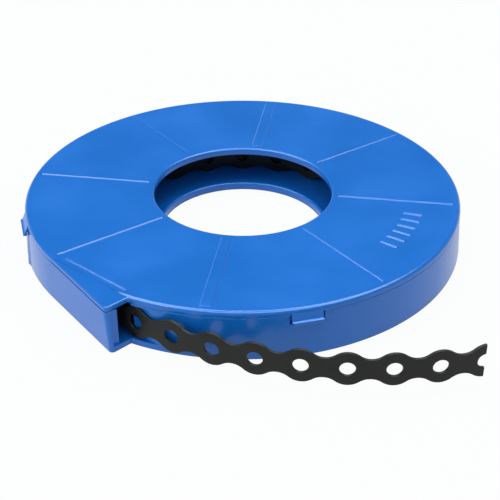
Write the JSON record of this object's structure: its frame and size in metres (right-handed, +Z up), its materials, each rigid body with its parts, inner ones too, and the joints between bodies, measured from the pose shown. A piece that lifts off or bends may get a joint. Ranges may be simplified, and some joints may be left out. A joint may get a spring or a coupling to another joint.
{
  "type": "perforated steel strap",
  "caption": "Coil of black coated perforated steel strap in a flat round moulded dispenser box, its wavy holed end led out of a tangential nozzle.",
  "frame": {"origin": "middle of the footprint of box and free strap end, at the underside that rests on the floor", "axes": "+Z up along the ring's axis, -Y towards the side where the free strap end curls, +X towards its cut end; the ring's axis stands at x 0, y 0.00800 m"},
  "size_m": [0.164, 0.18, 0.0179],
  "materials": {
    "box_moulding": "semi-gloss blue moulding",
    "strap_coating": "black plastic-coated steel"
  },
  "bodies": {
    "root": {"bottom_shell": "box_moulding", "lid": "box_moulding", "perforated_strap": "strap_coating"}
  },
  "joints": []
}
